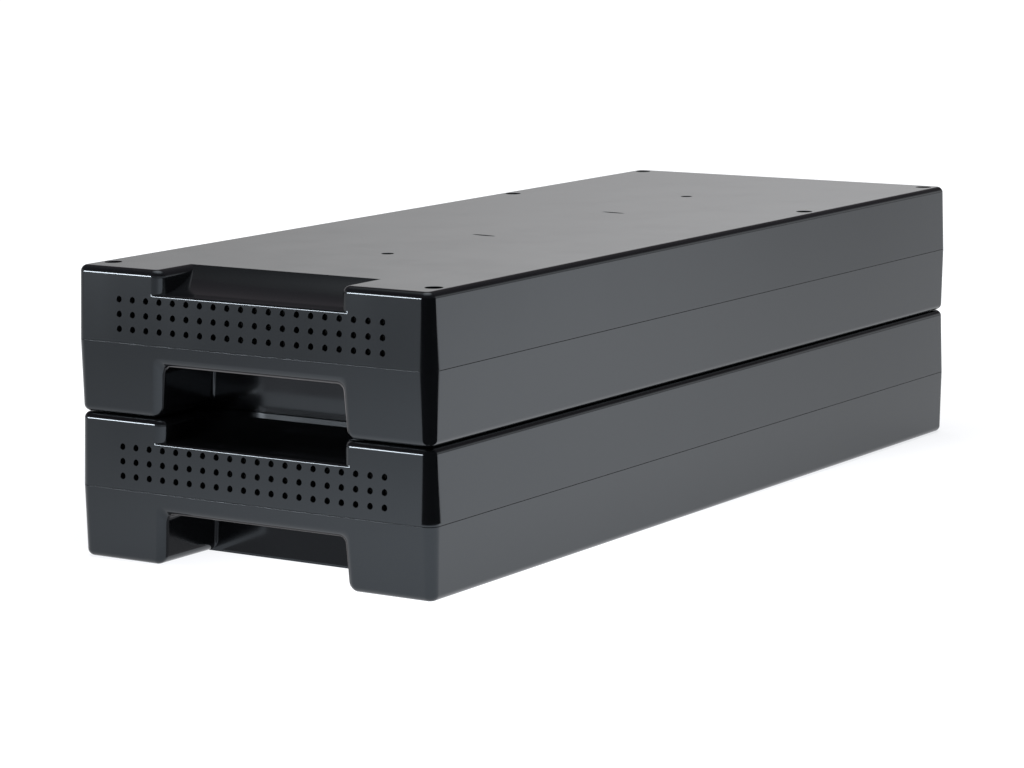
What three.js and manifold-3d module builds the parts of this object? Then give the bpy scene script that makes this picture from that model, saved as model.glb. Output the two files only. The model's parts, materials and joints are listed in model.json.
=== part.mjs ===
// Two sealed rack battery cartridges, one lying on the other, as they are stored or carried.
// Each is a moulded case in two halves around eight small lead-acid blocks wired in series.
// Millimetres, +Z up, the handle end faces -Y, and the origin is the bottom centre of the stack.
import * as THREE from 'three';
import { mergeVertices } from 'three/addons/utils/BufferGeometryUtils.js';
import Module from 'manifold-3d';

const wasm = await Module();
wasm.setup();

// ---- Case ----
const WIDTH = 218;
const DEPTH = 558;
const HEIGHT = 75;
const PARTING = 37.1; // height of the joint between the halves, where the case is widest
const DRAFT = Math.tan(THREE.MathUtils.degToRad(1.5));
const CORNER_RADIUS = 6; // the four upright corners
const EDGE_RADIUS = 3.5; // round the top and bottom faces
const WALL = 2.5;
const SKIN = 2; // floor, ceiling and the walls of the handle pocket and the scoop
const GAP = 0.3; // between neighbouring pieces
const TONGUE = 1; // thickness of the lip that locates the halves
const TONGUE_HEIGHT = 2;
const FRONT = -DEPTH / 2;
const OVERRUN = 1; // how far cutters, and bodies before they are joined, run past a face

// ---- Handle pocket in the bottom half, finger scoop in the top half ----
const POCKET = { halfNear: 56.5, halfFar: 55.3, depth: 26.3, lip: 6, corner: 4 };
const POCKET_LENGTH = 43.5;
const POCKET_MOUTH_RADIUS = 5; // round its front opening
const SCOOP = { halfNear: 54.7, halfFar: 54.7, depth: 31, lip: 6, corner: 4 };
const SCOOP_LIP = 63; // height of the scoop's front edge
const SCOOP_MOUTH_RADIUS = 4.5; // from its side walls onto the top face
const RAMP_BEND = 0.61; // how far back the ramp's control point lies, as a share of its depth

// ---- Vents ----
const VENT_COLUMNS = 20;
const VENT_ROWS = 3;
const VENT_PITCH_X = 8.5;
const VENT_PITCH_Z = 7.5;
const VENT_MIDDLE = 51.7;
const VENT_RADIUS = 1.6;

// ---- Screws and their bosses ----
const SIDE_SCREW_X = 98.5;
const SIDE_SCREW_DEPTHS = [18.5, 393.5, 546]; // behind the front face
const CENTRE_SCREWS = [{ x: 3.5, depth: 116 }, { x: 0, depth: 430.3 }]; // one is off-centre
const BOSS_RADIUS = 4.1;
const COUNTERBORE_RADIUS = 3.2;
const COUNTERBORE_FLOOR = 49;
const SINK_RADIUS = 4.5; // shallow dish round each side screw
const SINK_DEPTH = 1;
const SHANK_RADIUS = 1.5;
const HEAD_RADIUS = 2.9;
const HEAD_HEIGHT = 2.4;
const HEAD_CROWN = 0.6; // share of the head's height and radius where its top slopes in
const SCREW_LENGTH = 30;

// ---- Battery blocks ----
const BLOCK = { x: 90, y: 101, z: 70 };
const BLOCK_LID = 9;
const BLOCK_INNER_X = 8; // from the centre line to each column
const BLOCK_FLOOR = SKIN + GAP;
const ROW_DEPTHS = [48, 165, 284.5, 401.5]; // front of each row, behind the front face
const TAB = { x: 0.8, y: 6, z: 6.3 };
const TAB_OFFSET = 32; // from the middle of the block, both ways
const TAB_HEIGHT = 60;
const TAB_INNER_X = BLOCK_INNER_X + BLOCK.x / 2 - TAB_OFFSET;
const TAB_OUTER_X = BLOCK_INNER_X + BLOCK.x / 2 + TAB_OFFSET;
const LID_INSET = 1;
const RIB = { height: 8, thickness: 2, nearInset: 4, farInset: 14 };

// ---- Wiring and rear connector ----
const WIRE_RADIUS = 1.5;
const STRAP = 1; // thickness of the lugs and straps
const STRAP_END = 1; // from the end of a strap to the block that it faces
const LUG_LENGTH = 5;
const LUG_END = 0.5; // from a lug to its block
const LUG_X = TAB_INNER_X - TAB.x / 2 - GAP - STRAP; // side of the inner lugs that faces the centre
const FUSE = { radius: 4, length: 22, depth: 154 };
const SOCKET = { halfX: 26.7, halfZ: 9.7, length: 21 };
const SOCKET_FLANGE = { halfX: 31, halfZ: 13.7, thickness: 3 };
const SOCKET_FACE = DEPTH - 0.8; // just inside the rear face
const CAVITY = { nearX: 4, farX: 23, halfZ: 7.2, length: 16 };
const CONTACT = { x: 13, y: 27, z: 2 };
const CONTACT_X = (CAVITY.nearX + CAVITY.farX) / 2;
const CONTACT_FLOOR = PARTING - CAVITY.halfZ + GAP;
const CONTACT_TIP = 4; // inside the connector's face
const CONTACT_START = SOCKET_FACE - CONTACT_TIP - CONTACT.y;
const BARREL = { radius: 2.4, length: 4, start: 0.4 };

const ARC_STEPS = 4;
const ROUND_SIDES = 8;
const VENT_SIDES = 6;
const WIRE_SIDES = 8;

// ---- Finishes ----
const finish = (color, roughness, metalness = 0) => (
  new THREE.MeshStandardMaterial({ color, roughness, metalness })
);
const CASE_PLASTIC = finish(0x25282b, 0.42);
const BLOCK_PLASTIC = finish(0x4a4d50, 0.6);
const SOCKET_PLASTIC = finish(0x17181a, 0.5);
const SCREW_STEEL = finish(0x8f9296, 0.35, 1);
const CONTACT_METAL = finish(0xb9a878, 0.3, 1);
const BLACK_SLEEVE = finish(0x141416, 0.6);
const RED_SLEEVE = finish(0x9c1f1c, 0.6);
const FUSE_CERAMIC = finish(0xd9d4c4, 0.7);

// ---- Solids ----
const toSolid = (geometry) => {
  const bare = geometry.clone();
  bare.deleteAttribute('normal');
  bare.deleteAttribute('uv');
  const merged = mergeVertices(bare, 1e-4);
  return new wasm.Manifold(new wasm.Mesh({
    numProp: 3,
    vertProperties: Float32Array.from(merged.attributes.position.array),
    triVerts: Uint32Array.from(merged.index.array),
  }));
};

const toGeometry = (solid) => {
  const mesh = solid.getMesh();
  const geometry = new THREE.BufferGeometry();
  geometry.setAttribute('position', new THREE.BufferAttribute(mesh.vertProperties, 3));
  geometry.setIndex(new THREE.BufferAttribute(mesh.triVerts, 1));
  return geometry;
};

const join = (solids) => solids.reduce((whole, piece) => whole.add(piece));
const cut = (solid, cutters) => cutters.reduce((rest, cutter) => rest.subtract(cutter), solid);

/** Block between two corners. */
const block = ([x0, y0, z0], [x1, y1, z1]) => {
  const geometry = new THREE.BoxGeometry(x1 - x0, y1 - y0, z1 - z0);
  return toSolid(geometry.translate((x0 + x1) / 2, (y0 + y1) / 2, (z0 + z1) / 2));
};

/** Upright round bar. */
const post = (x, y, radius, z0, z1) => {
  const geometry = new THREE.CylinderGeometry(radius, radius, z1 - z0, ROUND_SIDES);
  return toSolid(geometry.rotateX(Math.PI / 2).translate(x, y, (z0 + z1) / 2));
};

/** Closed body through rings of equal point count, each anticlockwise seen from beyond the last. */
const skin = (rings, firstOutline, lastOutline) => {
  const count = firstOutline.length;
  const last = (rings.length - 1) * count;
  const index = [];
  for (let ring = 0; ring < last; ring += count) {
    for (let point = 0; point < count; point++) {
      const a = ring + point;
      const b = ring + ((point + 1) % count);
      index.push(a, b, b + count, a, b + count, a + count);
    }
  }
  for (const [a, b, c] of THREE.ShapeUtils.triangulateShape(firstOutline, [])) {
    index.push(a, c, b);
  }
  for (const [a, b, c] of THREE.ShapeUtils.triangulateShape(lastOutline, [])) {
    index.push(last + a, last + b, last + c);
  }
  const geometry = new THREE.BufferGeometry();
  const coordinates = rings.flat().flatMap((point) => point.toArray());
  geometry.setAttribute('position', new THREE.Float32BufferAttribute(coordinates, 3));
  geometry.setIndex(index);
  return toSolid(geometry);
};

const UPWARD = (point, z) => new THREE.Vector3(point.x, point.y, z);
const UPWARD_FROM_FRONT = (point, z) => new THREE.Vector3(point.x, FRONT + point.y, z);
const FORWARD = (point, depth) => new THREE.Vector3(point.x, FRONT + depth, point.y);
const SIDEWAYS = (point, x) => new THREE.Vector3(x, point.x, point.y);

/** Body lofted through [outline, position] levels, placed by one of the directions above. */
const loft = (levels, place) => skin(
  levels.map(([outline, at]) => outline.map((point) => place(point, at))),
  levels[0][0],
  levels[levels.length - 1][0],
);

/** Tube through hand-placed points given as [x, depth behind the front face, z]. */
const tube = (route, radius) => {
  const points = route.map(([x, depth, z]) => new THREE.Vector3(x, FRONT + depth, z));
  const up = new THREE.Vector3(0, 0, 1);
  const outline = new THREE.EllipseCurve(0, 0, radius, radius).getPoints(WIRE_SIDES).slice(0, -1);
  const rings = points.map((point, i) => {
    const before = points[Math.max(i - 1, 0)];
    const after = points[Math.min(i + 1, points.length - 1)];
    const along = after.clone().sub(before).normalize();
    const side = up.clone().cross(along).normalize();
    const over = along.clone().cross(side);
    return outline.map(({ x, y }) => (
      point.clone().addScaledVector(side, x).addScaledVector(over, y)
    ));
  });
  return skin(rings, outline, outline);
};

// ---- Outlines ----
const roundedRectangle = (halfX, halfY, radius) => {
  const corners = [[1, 1], [-1, 1], [-1, -1], [1, -1]];
  return corners.flatMap(([signX, signY], quarter) => {
    const points = [];
    for (let step = 0; step <= ARC_STEPS; step++) {
      const angle = (quarter + step / ARC_STEPS) * Math.PI / 2;
      points.push(new THREE.Vector2(
        signX * (halfX - radius) + radius * Math.cos(angle),
        signY * (halfY - radius) + radius * Math.sin(angle),
      ));
    }
    return points;
  });
};

/** Footprint of the case, drawn in from its widest line by `inset`. */
const footprint = (inset) => (
  roundedRectangle(WIDTH / 2 - inset, DEPTH / 2 - inset, CORNER_RADIUS - inset)
);

/**
 * Mouth of a recess that opens through the edge of a face, with rounded lips and inner corners.
 * It grows outwards by `grow`, less than its lip's radius, and its inner corners stay as tight.
 */
const mouth = ({ halfNear, halfFar, depth, lip, corner }, grow) => {
  const right = [new THREE.Vector2(halfNear + lip, -lip)];
  for (let step = ARC_STEPS; step >= 0; step--) {
    const angle = (step / ARC_STEPS) * Math.PI / 2;
    right.push(new THREE.Vector2(
      halfNear + lip - (lip - grow) * Math.cos(angle),
      lip - (lip - grow) * Math.sin(angle),
    ));
  }
  for (let step = 0; step <= ARC_STEPS; step++) {
    const angle = (step / ARC_STEPS) * Math.PI / 2;
    right.push(new THREE.Vector2(
      halfFar + grow - corner + corner * Math.cos(angle),
      depth + grow - corner + corner * Math.sin(angle),
    ));
  }
  const left = right.map(({ x, y }) => new THREE.Vector2(-x, y)).reverse();
  return right.concat(left);
};

/** How far a rounded edge stands back, `along` its radius from the wall that it starts on. */
const roundOver = (radius, along) => radius - Math.sqrt(radius ** 2 - along ** 2);

// ---- Case halves ----
const draftAt = (z) => Math.abs(z - PARTING) * DRAFT;
const bottomUp = (z) => z;
const topDown = (z) => HEIGHT - z;

/** Outside of one half, from its rounded face to the parting line. */
const outside = (fromFace, parting) => {
  const levels = [];
  for (let step = 0; step <= ARC_STEPS; step++) {
    const angle = (step / ARC_STEPS) * Math.PI / 2;
    const z = fromFace(EDGE_RADIUS * (1 - Math.cos(angle)));
    levels.push([footprint(draftAt(z) + EDGE_RADIUS * (1 - Math.sin(angle))), z]);
  }
  levels.push([footprint(0), parting]);
  return loft(levels.sort((a, b) => a[1] - b[1]), UPWARD);
};

/** Inside of one half, drawn in by `thickness` from its outside. */
const inside = (z0, z1, thickness = WALL) => loft([
  [footprint(draftAt(z0) + thickness), z0],
  [footprint(draftAt(z1) + thickness), z1],
], UPWARD);

/** Handle pocket: open to the front and underneath, with a rounded front mouth. */
const pocketSpace = () => {
  const face = draftAt(POCKET.depth / 2);
  const levels = [[mouth(POCKET, 0), POCKET_LENGTH]];
  for (let step = 0; step <= ARC_STEPS; step++) {
    const along = (step / ARC_STEPS) * POCKET_MOUTH_RADIUS;
    const grow = roundOver(POCKET_MOUTH_RADIUS, along);
    levels.push([mouth(POCKET, grow), face + POCKET_MOUTH_RADIUS - along]);
  }
  levels.push([mouth(POCKET, POCKET_MOUTH_RADIUS), face - 2 * POCKET_MOUTH_RADIUS]);
  return loft(levels, FORWARD);
};

const pocketWalls = () => loft([
  [mouth(POCKET, SKIN), POCKET_LENGTH + SKIN],
  [mouth(POCKET, SKIN), -WALL],
], FORWARD);

/** Everything above the scoop's curved ramp, lowered by `drop`, across the width. */
const aboveRamp = (drop) => {
  const top = HEIGHT + 2 * EDGE_RADIUS;
  const ramp = new THREE.QuadraticBezierCurve(
    new THREE.Vector2(FRONT, SCOOP_LIP - drop),
    new THREE.Vector2(FRONT + RAMP_BEND * SCOOP.depth, SCOOP_LIP - drop),
    new THREE.Vector2(FRONT + SCOOP.depth, HEIGHT - drop),
  ).getPoints(2 * ARC_STEPS);
  const outline = [
    new THREE.Vector2(FRONT - SCOOP.lip, SCOOP_LIP - drop),
    ...ramp,
    new THREE.Vector2(FRONT + SCOOP.depth + SCOOP.lip, top),
    new THREE.Vector2(FRONT - SCOOP.lip, top),
  ];
  const reach = SCOOP.halfNear + 2 * SCOOP.lip;
  return loft([[outline, -reach], [outline, reach]], SIDEWAYS);
};

/** Finger scoop: open to the front and above, with its side edges rounded over. */
const scoopSpace = () => {
  const wall = HEIGHT - SCOOP_MOUTH_RADIUS;
  const levels = [[mouth(SCOOP, 0), SCOOP_LIP - SCOOP.lip]];
  for (let step = 0; step <= ARC_STEPS; step++) {
    const along = (step / ARC_STEPS) * SCOOP_MOUTH_RADIUS;
    levels.push([mouth(SCOOP, roundOver(SCOOP_MOUTH_RADIUS, along)), wall + along]);
  }
  levels.push([mouth(SCOOP, SCOOP_MOUTH_RADIUS), HEIGHT + SCOOP_MOUTH_RADIUS]);
  return loft(levels, UPWARD_FROM_FRONT).intersect(aboveRamp(0));
};

const scoopWalls = () => {
  const outline = mouth(SCOOP, SKIN);
  const walls = loft([[outline, PARTING + WALL], [outline, HEIGHT]], UPWARD_FROM_FRONT);
  return walls.intersect(aboveRamp(SKIN));
};

const ventHoles = () => {
  const holes = [];
  for (let row = 0; row < VENT_ROWS; row++) {
    for (let column = 0; column < VENT_COLUMNS; column++) {
      const x = (column - (VENT_COLUMNS - 1) / 2) * VENT_PITCH_X;
      const z = VENT_MIDDLE + (row - (VENT_ROWS - 1) / 2) * VENT_PITCH_Z;
      const length = 2 * (WALL + OVERRUN);
      const bar = new THREE.CylinderGeometry(VENT_RADIUS, VENT_RADIUS, length, VENT_SIDES);
      holes.push(toSolid(bar.translate(x, FRONT + WALL / 2, z)));
    }
  }
  return holes;
};

const screwPlaces = () => {
  const sides = SIDE_SCREW_DEPTHS.flatMap((depth) => (
    [-1, 1].map((side) => ({ x: side * SIDE_SCREW_X, y: FRONT + depth, dished: true }))
  ));
  const centre = CENTRE_SCREWS.map(({ x, depth }) => ({ x, y: FRONT + depth, dished: false }));
  return sides.concat(centre);
};

/** Opening for the connector, half in each case half. */
const socketOpening = () => block(
  [-SOCKET.halfX - GAP, FRONT + DEPTH - 2 * WALL, PARTING - SOCKET.halfZ - GAP],
  [SOCKET.halfX + GAP, FRONT + DEPTH + WALL, PARTING + SOCKET.halfZ + GAP],
);

/** Low walls on the floor that hold each row of blocks in place. */
const floorRibs = () => ROW_DEPTHS.flatMap((depth) => (
  [depth - GAP - RIB.thickness, depth + BLOCK.y + GAP].flatMap((start) => (
    [-1, 1].map((side) => {
      const near = side * (BLOCK_INNER_X + RIB.nearInset);
      const far = side * (BLOCK_INNER_X + BLOCK.x - RIB.farInset);
      return block(
        [Math.min(near, far), FRONT + start, SKIN / 2],
        [Math.max(near, far), FRONT + start + RIB.thickness, SKIN + RIB.height],
      );
    })
  ))
));

const bottomShell = () => {
  const rim = PARTING - GAP / 2;
  const cavity = inside(SKIN, rim + OVERRUN).subtract(pocketWalls());
  const tongue = inside(rim - WALL, rim + TONGUE_HEIGHT, WALL - TONGUE)
    .subtract(inside(rim - 2 * WALL, rim + 2 * WALL));
  const pilots = screwPlaces().map(({ x, y }) => (
    post(x, y, SHANK_RADIUS + GAP, COUNTERBORE_FLOOR - SCREW_LENGTH - OVERRUN, HEIGHT)
  ));
  const bosses = screwPlaces().map(({ x, y }) => post(x, y, BOSS_RADIUS, SKIN / 2, rim));
  const hollow = cut(outside(bottomUp, rim), [cavity, pocketSpace()]);
  return cut(join([hollow, tongue, ...bosses, ...floorRibs()]), [...pilots, socketOpening()]);
};

const topShell = () => {
  const rim = PARTING + GAP / 2;
  const cavity = inside(rim - OVERRUN, HEIGHT - SKIN).subtract(scoopWalls());
  const rebate = inside(rim - OVERRUN, rim + TONGUE_HEIGHT, WALL - TONGUE - GAP);
  const bosses = screwPlaces().map(({ x, y }) => post(x, y, BOSS_RADIUS, rim, HEIGHT - SKIN / 2));
  const bores = screwPlaces().flatMap(({ x, y, dished }) => {
    const steps = [
      post(x, y, SHANK_RADIUS + GAP, rim - OVERRUN, COUNTERBORE_FLOOR + OVERRUN),
      post(x, y, COUNTERBORE_RADIUS, COUNTERBORE_FLOOR, HEIGHT + OVERRUN),
    ];
    const dish = post(x, y, SINK_RADIUS, HEIGHT - SINK_DEPTH, HEIGHT + OVERRUN);
    return dished ? [...steps, dish] : steps;
  });
  const hollow = cut(outside(topDown, rim), [cavity, rebate, scoopSpace()]);
  return cut(join([hollow, ...bosses]), [...bores, ...ventHoles(), socketOpening()]);
};

// ---- Inner pieces ----
/** Pan-head screw, head up, standing on the counterbore's floor. */
const screw = () => {
  const profile = [
    [0, GAP - SCREW_LENGTH],
    [SHANK_RADIUS, GAP - SCREW_LENGTH + SHANK_RADIUS],
    [SHANK_RADIUS, GAP],
    [HEAD_RADIUS, GAP],
    [HEAD_RADIUS, GAP + HEAD_HEIGHT * HEAD_CROWN],
    [HEAD_RADIUS * HEAD_CROWN, GAP + HEAD_HEIGHT],
    [0, GAP + HEAD_HEIGHT],
  ].map(([radius, z]) => new THREE.Vector2(radius, z));
  const geometry = new THREE.LatheGeometry(profile, ROUND_SIDES).rotateX(Math.PI / 2);
  return toSolid(geometry);
};

/** Lead-acid block on its side: case, lid and two tabs on the lid, which faces `facing` along Y. */
const batteryBlock = (facing) => {
  const half = { x: BLOCK.x / 2, y: BLOCK.y / 2, z: BLOCK.z / 2 };
  const inset = { x: half.x - LID_INSET, z: half.z - LID_INSET };
  const lidStart = facing > 0 ? half.y - BLOCK_LID : -half.y;
  const caseLength = BLOCK.y - BLOCK_LID + OVERRUN;
  const caseStart = facing > 0 ? -half.y : half.y - caseLength;
  const tub = block(
    [-half.x, caseStart, -half.z],
    [half.x, caseStart + caseLength, half.z],
  );
  const lid = block(
    [-inset.x, lidStart, -inset.z],
    [inset.x, lidStart + BLOCK_LID, inset.z],
  );
  const tabZ = TAB_HEIGHT - BLOCK_FLOOR - half.z;
  const tabs = [-TAB_OFFSET, TAB_OFFSET].map((x) => {
    const start = facing > 0 ? half.y - OVERRUN : -half.y - TAB.y;
    return block(
      [x - TAB.x / 2, start, tabZ - TAB.z / 2],
      [x + TAB.x / 2, start + TAB.y + OVERRUN, tabZ + TAB.z / 2],
    );
  });
  return join([tub, lid, ...tabs]);
};

/** Flat lug beside an inner tab. `depth` is the lug's front end. */
const innerLug = (side, depth) => {
  const faces = [side * LUG_X, side * (LUG_X + STRAP)];
  return block(
    [Math.min(...faces), FRONT + depth, TAB_HEIGHT - TAB.z / 2],
    [Math.max(...faces), FRONT + depth + LUG_LENGTH, TAB_HEIGHT + TAB.z / 2],
  );
};

/** Flat strap that joins the outer tabs of a front row's block and the block it faces. */
const shortJumper = (side, row) => {
  const near = side * (TAB_OUTER_X - TAB.x / 2 - GAP);
  const far = near - side * STRAP;
  const start = FRONT + ROW_DEPTHS[row] + BLOCK.y + STRAP_END;
  const end = FRONT + ROW_DEPTHS[row + 1] - STRAP_END;
  return block(
    [Math.min(near, far), start, TAB_HEIGHT - TAB.z / 2],
    [Math.max(near, far), end, TAB_HEIGHT + TAB.z / 2],
  );
};

/** Wire between the two middle rows of one column, laid along the centre gap. */
const longJumper = (side) => {
  const start = ROW_DEPTHS[1];
  const end = ROW_DEPTHS[2] + BLOCK.y;
  const across = [[LUG_X + 0.5, -3], [12, -3], [8.2, -2.6], [5.2, -0.6], [4, 2.5], [3.7, 8]];
  const route = [
    ...across.map(([x, before]) => [side * x, start + before, TAB_HEIGHT]),
    ...across.map(([x, before]) => [side * x, end - before, TAB_HEIGHT]).reverse(),
  ];
  const lugs = [innerLug(side, start - LUG_END - LUG_LENGTH), innerLug(side, end + LUG_END)];
  return join([tube(route, WIRE_RADIUS), ...lugs]);
};

/** Fuse across the front gap, between the two columns. */
const fuseLink = () => {
  const start = ROW_DEPTHS[0] + BLOCK.y;
  const bar = new THREE.CylinderGeometry(FUSE.radius, FUSE.radius, FUSE.length, ROUND_SIDES);
  const fuse = toSolid(bar.rotateZ(Math.PI / 2).translate(0, FRONT + FUSE.depth, TAB_HEIGHT));
  const blade = block(
    [-LUG_X - STRAP / 2, FRONT + FUSE.depth - STRAP / 2, TAB_HEIGHT - TAB.z / 2],
    [LUG_X + STRAP / 2, FRONT + FUSE.depth + STRAP / 2, TAB_HEIGHT + TAB.z / 2],
  );
  const lugs = [-1, 1].map((side) => innerLug(side, start + LUG_END));
  return join([fuse, blade, ...lugs]);
};

/** Lead from the last block of a column, along the centre gap, down to its contact. */
const lead = (side) => {
  const start = ROW_DEPTHS[3];
  const end = CONTACT_START - 2 * GAP;
  const channel = (BOSS_RADIUS + BLOCK_INNER_X) / 2;
  const route = [
    [LUG_X + 0.5, start - 3, TAB_HEIGHT],
    [12, start - 3.4, TAB_HEIGHT],
    [8.6, start - 3, TAB_HEIGHT],
    [6.4, start - 1.2, TAB_HEIGHT],
    [channel, start + 2.5, TAB_HEIGHT],
    [channel, start + BLOCK.y + 1.5, TAB_HEIGHT],
    [channel + 1, start + BLOCK.y + 5, TAB_HEIGHT - 3],
    [channel + 3, start + BLOCK.y + 9, TAB_HEIGHT - 10],
    [CONTACT_X - 1, end - 9, CONTACT_FLOOR + 7],
    [CONTACT_X, end - 5, CONTACT_FLOOR + 1.6],
    [CONTACT_X, end, CONTACT_FLOOR + CONTACT.z / 2],
  ].map(([x, depth, z]) => [side * x, depth, z]);
  return join([tube(route, WIRE_RADIUS), innerLug(side, start - LUG_END - LUG_LENGTH)]);
};

/** Connector body: a flange behind the rear wall and two square cavities open to the rear. */
const socketHousing = () => {
  const rear = FRONT + SOCKET_FACE;
  const wallInside = FRONT + DEPTH - WALL - draftAt(PARTING - SOCKET_FLANGE.halfZ) - GAP;
  const body = block(
    [-SOCKET.halfX, rear - SOCKET.length, PARTING - SOCKET.halfZ],
    [SOCKET.halfX, rear, PARTING + SOCKET.halfZ],
  );
  const flange = block(
    [-SOCKET_FLANGE.halfX, wallInside - SOCKET_FLANGE.thickness, PARTING - SOCKET_FLANGE.halfZ],
    [SOCKET_FLANGE.halfX, wallInside, PARTING + SOCKET_FLANGE.halfZ],
  );
  const spaces = [-1, 1].flatMap((side) => {
    const xs = [side * CAVITY.nearX, side * CAVITY.farX];
    const slotHalf = CONTACT.x / 2 + GAP;
    return [
      block(
        [Math.min(...xs), rear - CAVITY.length, PARTING - CAVITY.halfZ],
        [Math.max(...xs), rear + OVERRUN, PARTING + CAVITY.halfZ],
      ),
      block(
        [side * CONTACT_X - slotHalf, rear - SOCKET.length - OVERRUN, PARTING - CAVITY.halfZ],
        [side * CONTACT_X + slotHalf, rear, CONTACT_FLOOR + CONTACT.z + GAP],
      ),
    ];
  });
  return cut(join([body, flange]), spaces);
};

/** Flat contact blade with a crimp barrel on its tail. */
const contact = () => {
  const blade = block([-CONTACT.x / 2, 0, 0], [CONTACT.x / 2, CONTACT.y, CONTACT.z]);
  const bar = new THREE.CylinderGeometry(BARREL.radius, BARREL.radius, BARREL.length, ROUND_SIDES);
  const middle = BARREL.start + BARREL.length / 2;
  return blade.add(toSolid(bar.translate(0, middle, CONTACT.z / 2)));
};

// ---- One cartridge ----
const mesh = (name, solid, material, x = 0, y = 0, z = 0) => {
  const piece = new THREE.Mesh(toGeometry(solid), material);
  piece.name = name;
  piece.position.set(x, y, z);
  return piece;
};

const SOLIDS = {
  bottom: bottomShell(),
  top: topShell(),
  screw: screw(),
  blockFacingRear: batteryBlock(1),
  blockFacingFront: batteryBlock(-1),
};

const cartridge = (prefix, height) => {
  const group = new THREE.Group();
  group.position.z = height;
  group.add(mesh(`${prefix}_bottom_shell`, SOLIDS.bottom, CASE_PLASTIC));
  group.add(mesh(`${prefix}_top_shell`, SOLIDS.top, CASE_PLASTIC));

  screwPlaces().forEach(({ x, y }, i) => {
    group.add(mesh(`${prefix}_screw_${i + 1}`, SOLIDS.screw, SCREW_STEEL, x, y, COUNTERBORE_FLOOR));
  });

  ROW_DEPTHS.forEach((depth, row) => {
    const solid = row % 2 === 0 ? SOLIDS.blockFacingRear : SOLIDS.blockFacingFront;
    [-1, 1].forEach((side, column) => {
      const x = side * (BLOCK_INNER_X + BLOCK.x / 2);
      const name = `${prefix}_battery_block_${2 * row + column + 1}`;
      const y = FRONT + depth + BLOCK.y / 2;
      group.add(mesh(name, solid, BLOCK_PLASTIC, x, y, BLOCK_FLOOR + BLOCK.z / 2));
    });
  });

  const jumpers = [-1, 1].flatMap((side) => (
    [shortJumper(side, 0), shortJumper(side, 2), longJumper(side)]
  ));
  jumpers.forEach((solid, i) => {
    group.add(mesh(`${prefix}_jumper_${i + 1}`, solid, BLACK_SLEEVE));
  });
  group.add(mesh(`${prefix}_fuse_link`, fuseLink(), FUSE_CERAMIC));

  group.add(mesh(`${prefix}_connector_housing`, socketHousing(), SOCKET_PLASTIC));
  [['negative', -1, BLACK_SLEEVE], ['positive', 1, RED_SLEEVE]].forEach(([pole, side, sleeve]) => {
    const blade = mesh(`${prefix}_contact_${pole}`, contact(), CONTACT_METAL);
    blade.position.set(side * CONTACT_X, FRONT + CONTACT_START, CONTACT_FLOOR);
    group.add(blade, mesh(`${prefix}_lead_${pole}`, lead(side), sleeve));
  });
  return group;
};

const stack = new THREE.Group();
stack.add(cartridge('lower', 0), cartridge('upper', HEIGHT + GAP));

export default stack;
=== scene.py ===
"""Two black rack battery cartridges, one on the other, on a pale studio floor.

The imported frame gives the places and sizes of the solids. The case halves, screws, rear
connectors and their contacts are built here as fine meshes round the same outlines, in metres,
with +Z up and the handle end facing -Y. The other pieces keep the meshes of their solids.
"""

import json
import math

import bmesh
import bpy
from mathutils import Matrix, Vector


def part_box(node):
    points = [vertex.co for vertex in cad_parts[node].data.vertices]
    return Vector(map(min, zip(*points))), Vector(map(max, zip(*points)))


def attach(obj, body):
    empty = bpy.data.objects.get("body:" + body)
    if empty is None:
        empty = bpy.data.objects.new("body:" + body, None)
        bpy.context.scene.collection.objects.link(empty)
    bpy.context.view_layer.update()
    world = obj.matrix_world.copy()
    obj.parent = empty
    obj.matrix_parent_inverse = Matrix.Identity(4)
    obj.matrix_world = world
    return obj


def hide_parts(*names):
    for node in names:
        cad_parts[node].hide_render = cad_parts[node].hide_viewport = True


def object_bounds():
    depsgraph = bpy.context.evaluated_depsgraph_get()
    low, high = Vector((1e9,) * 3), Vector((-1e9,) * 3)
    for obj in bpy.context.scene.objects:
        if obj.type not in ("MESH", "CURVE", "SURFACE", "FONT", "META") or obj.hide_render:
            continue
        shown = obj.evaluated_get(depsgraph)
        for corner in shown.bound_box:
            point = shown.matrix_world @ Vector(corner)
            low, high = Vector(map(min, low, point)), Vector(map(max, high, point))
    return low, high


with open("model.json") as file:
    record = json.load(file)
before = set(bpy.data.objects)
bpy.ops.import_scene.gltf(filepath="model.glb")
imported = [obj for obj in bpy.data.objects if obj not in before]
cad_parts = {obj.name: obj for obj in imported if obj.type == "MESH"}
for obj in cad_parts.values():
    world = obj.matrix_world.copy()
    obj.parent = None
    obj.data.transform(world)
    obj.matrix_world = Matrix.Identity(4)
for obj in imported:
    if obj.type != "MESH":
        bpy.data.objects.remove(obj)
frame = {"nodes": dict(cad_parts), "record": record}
cad_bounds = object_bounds()

MM = 0.001
CARTRIDGES = ("lower", "upper")

# ---- Case, read from the solids ----
bottom_low, bottom_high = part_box("lower_bottom_shell")
top_low, top_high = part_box("lower_top_shell")
HALF_WIDTH = bottom_high.x
HALF_DEPTH = bottom_high.y
FRONT = -HALF_DEPTH
HEIGHT = top_high.z
SOLID_GAP = 0.3 * MM  # clearance between the solids
PARTING = top_low.z - SOLID_GAP / 2

# ---- Case details ----
DRAFT = math.tan(math.radians(1.5))
CORNER_RADIUS = 6 * MM
EDGE_RADIUS = 3.5 * MM
WALL = 2.5 * MM
SKIN = 2 * MM  # thickness of the floor, the roof and the walls of recesses
SEAM_GAP = 0.1 * MM  # what shows of the gap between the halves
SEAM_RADIUS = 0.2 * MM
TONGUE = 1 * MM
TONGUE_HEIGHT = 2 * MM
RIM = 0.15 * MM  # chamfer round holes and on ends

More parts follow.
